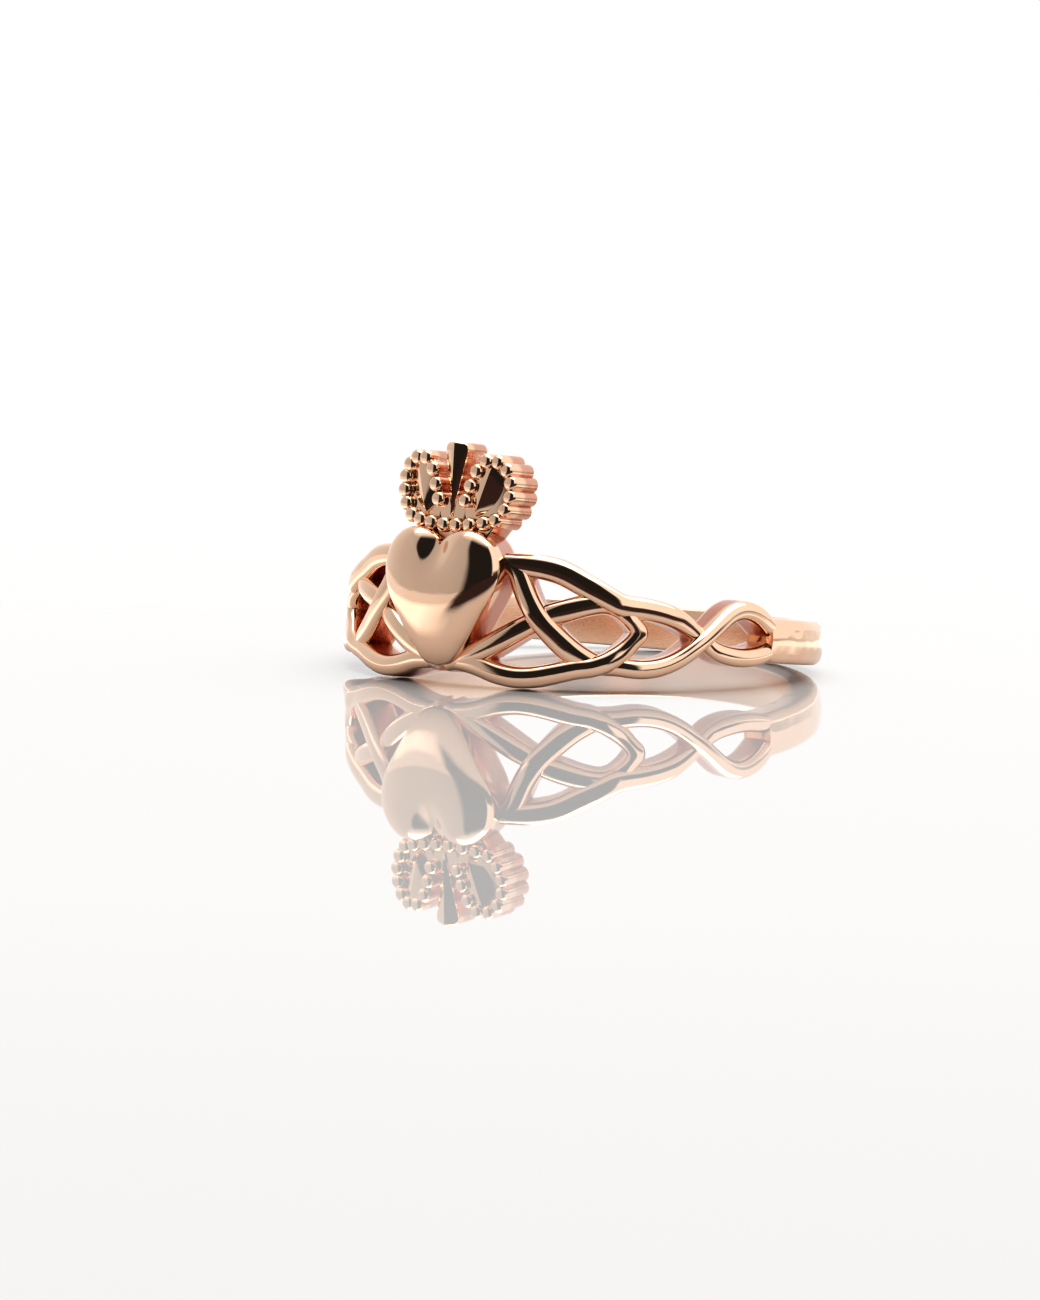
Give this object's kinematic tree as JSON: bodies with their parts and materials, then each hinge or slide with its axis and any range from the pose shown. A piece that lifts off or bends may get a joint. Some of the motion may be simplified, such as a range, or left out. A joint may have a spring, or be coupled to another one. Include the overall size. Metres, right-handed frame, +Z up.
{
  "type": "claddagh finger ring",
  "caption": "Polished rose gold finger ring, lying on its side, with a crowned puffed heart, pierced interlaced knotwork shoulders and a plain band at the back.",
  "frame": {"origin": "on the table, under the middle of the ring's outer box, with the ring lying on its side", "axes": "+Z up, -Y the side that the heart faces, +X to the right of someone who looks at the heart; the finger hole's axis leans 5.73 degrees from +Z towards +Y"},
  "size_m": [0.02, 0.0212, 0.0099],
  "materials": {
    "rose_gold": null
  },
  "bodies": {
    "root": {"ring": "rose_gold"}
  },
  "joints": []
}
